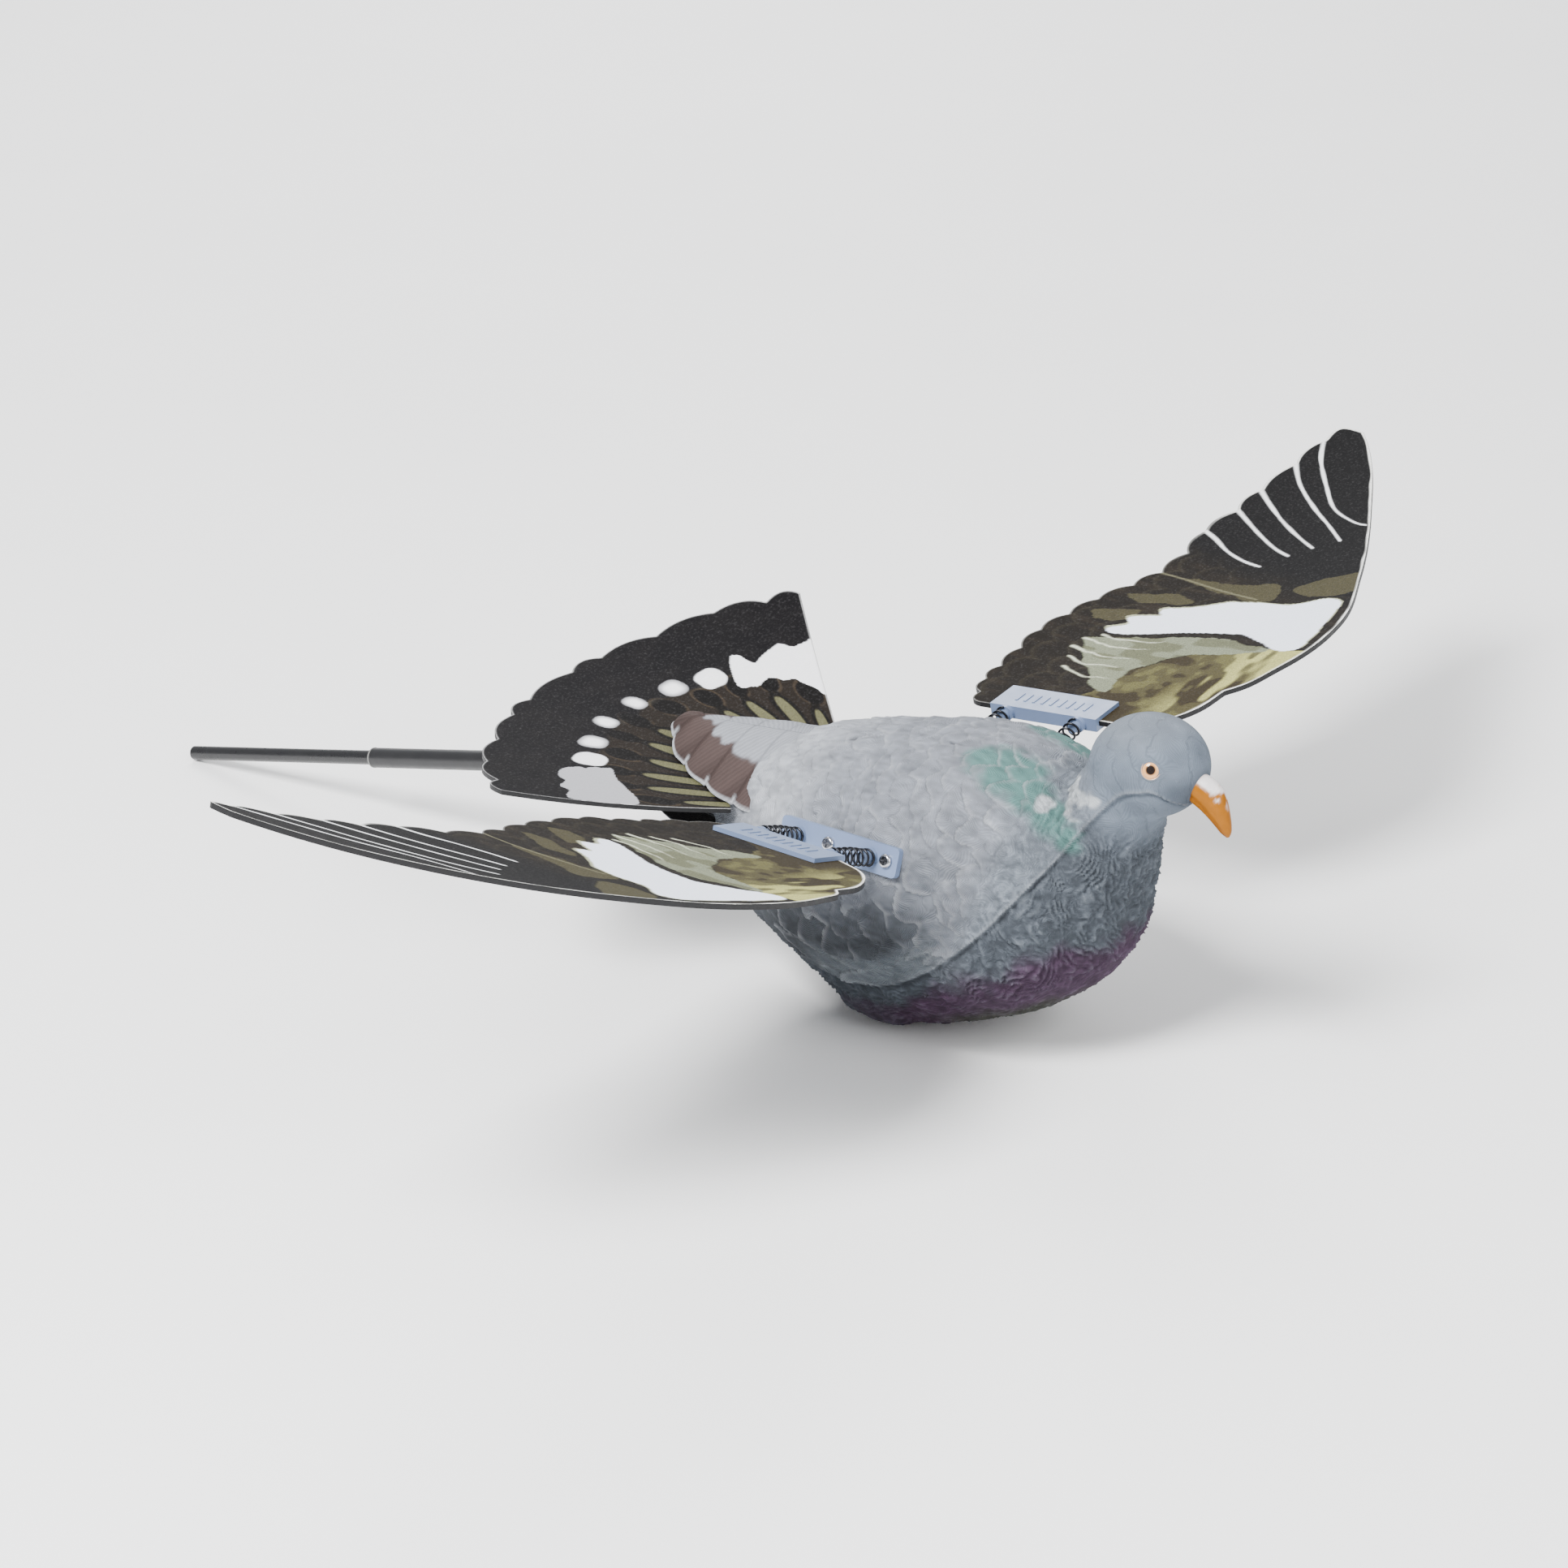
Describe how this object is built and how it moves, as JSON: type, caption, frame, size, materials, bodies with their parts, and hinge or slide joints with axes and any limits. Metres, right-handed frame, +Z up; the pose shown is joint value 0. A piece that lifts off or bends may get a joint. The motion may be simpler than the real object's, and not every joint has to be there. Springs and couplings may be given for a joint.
{
  "type": "flapping pigeon decoy",
  "caption": "Hollow pigeon-shaped field decoy with two sprung flapping sheet wings, a fan tail and a slim rear rod pushed into a sleeve.",
  "frame": {"origin": "centre of the small flat under the belly that the decoy rests on", "axes": "+Z up, the bird faces -Y, the rod leaves towards +Y, the bird's left wing is on +X"},
  "size_m": [0.7746, 0.6083, 0.2148],
  "materials": {
    "painted_back": "matte feathered paint, blue-grey",
    "painted_belly": "matte feathered paint, mauve to grey",
    "eye_gloss": "gloss",
    "black_tube": "satin",
    "black_rod": "satin",
    "black_foam": "matte",
    "printed_cloth": "printed weave",
    "grey_plastic": "satin",
    "screw_metal": "polished",
    "spring_wire": "bright dark wire"
  },
  "bodies": {
    "body": {"upper_shell": "painted_back", "lower_shell": "painted_belly", "left_eye": "eye_gloss", "right_eye": "eye_gloss", "rod_socket": "black_tube", "rod_sleeve": "black_tube", "tail_core": "black_foam", "tail_print": "printed_cloth", "tail_clamp_pads": "grey_plastic", "tail_clamp_screws": "screw_metal", "left_plate": "grey_plastic", "left_plate_screws": "screw_metal", "left_spring_front": "spring_wire", "left_spring_rear": "spring_wire", "right_plate": "grey_plastic", "right_plate_screws": "screw_metal", "right_spring_front": "spring_wire", "right_spring_rear": "spring_wire"},
    "left_wing": {"left_clip_upper": "grey_plastic", "left_clip_lower": "grey_plastic", "left_wing_core": "black_foam", "left_wing_print": "printed_cloth"},
    "right_wing": {"right_clip_upper": "grey_plastic", "right_clip_lower": "grey_plastic", "right_wing_core": "black_foam", "right_wing_print": "printed_cloth"},
    "rod": {"rod": "black_rod"}
  },
  "joints": [
    {"name": "left_wing_flap", "type": "hinge", "parent": "body", "child": "left_wing", "pos_m": [0.074, -0.006, 0.0985], "axis": [0, -1, 0], "range_deg": [-24, 40], "stiffness_Nm_per_rad": 0.6, "springref_deg": 8.71, "deforming": ["left_spring_front", "left_spring_rear"]},
    {"name": "right_wing_flap", "type": "hinge", "parent": "body", "child": "right_wing", "pos_m": [-0.074, -0.006, 0.0985], "axis": [0, 1, 0], "range_deg": [-32, 32], "stiffness_Nm_per_rad": 0.6, "springref_deg": 8.37, "deforming": ["right_spring_front", "right_spring_rear"]},
    {"name": "rod_pull", "type": "slide", "parent": "body", "child": "rod", "axis": [0, 0.975, -0.2221], "range_m": [0, 0.05]}
  ]
}
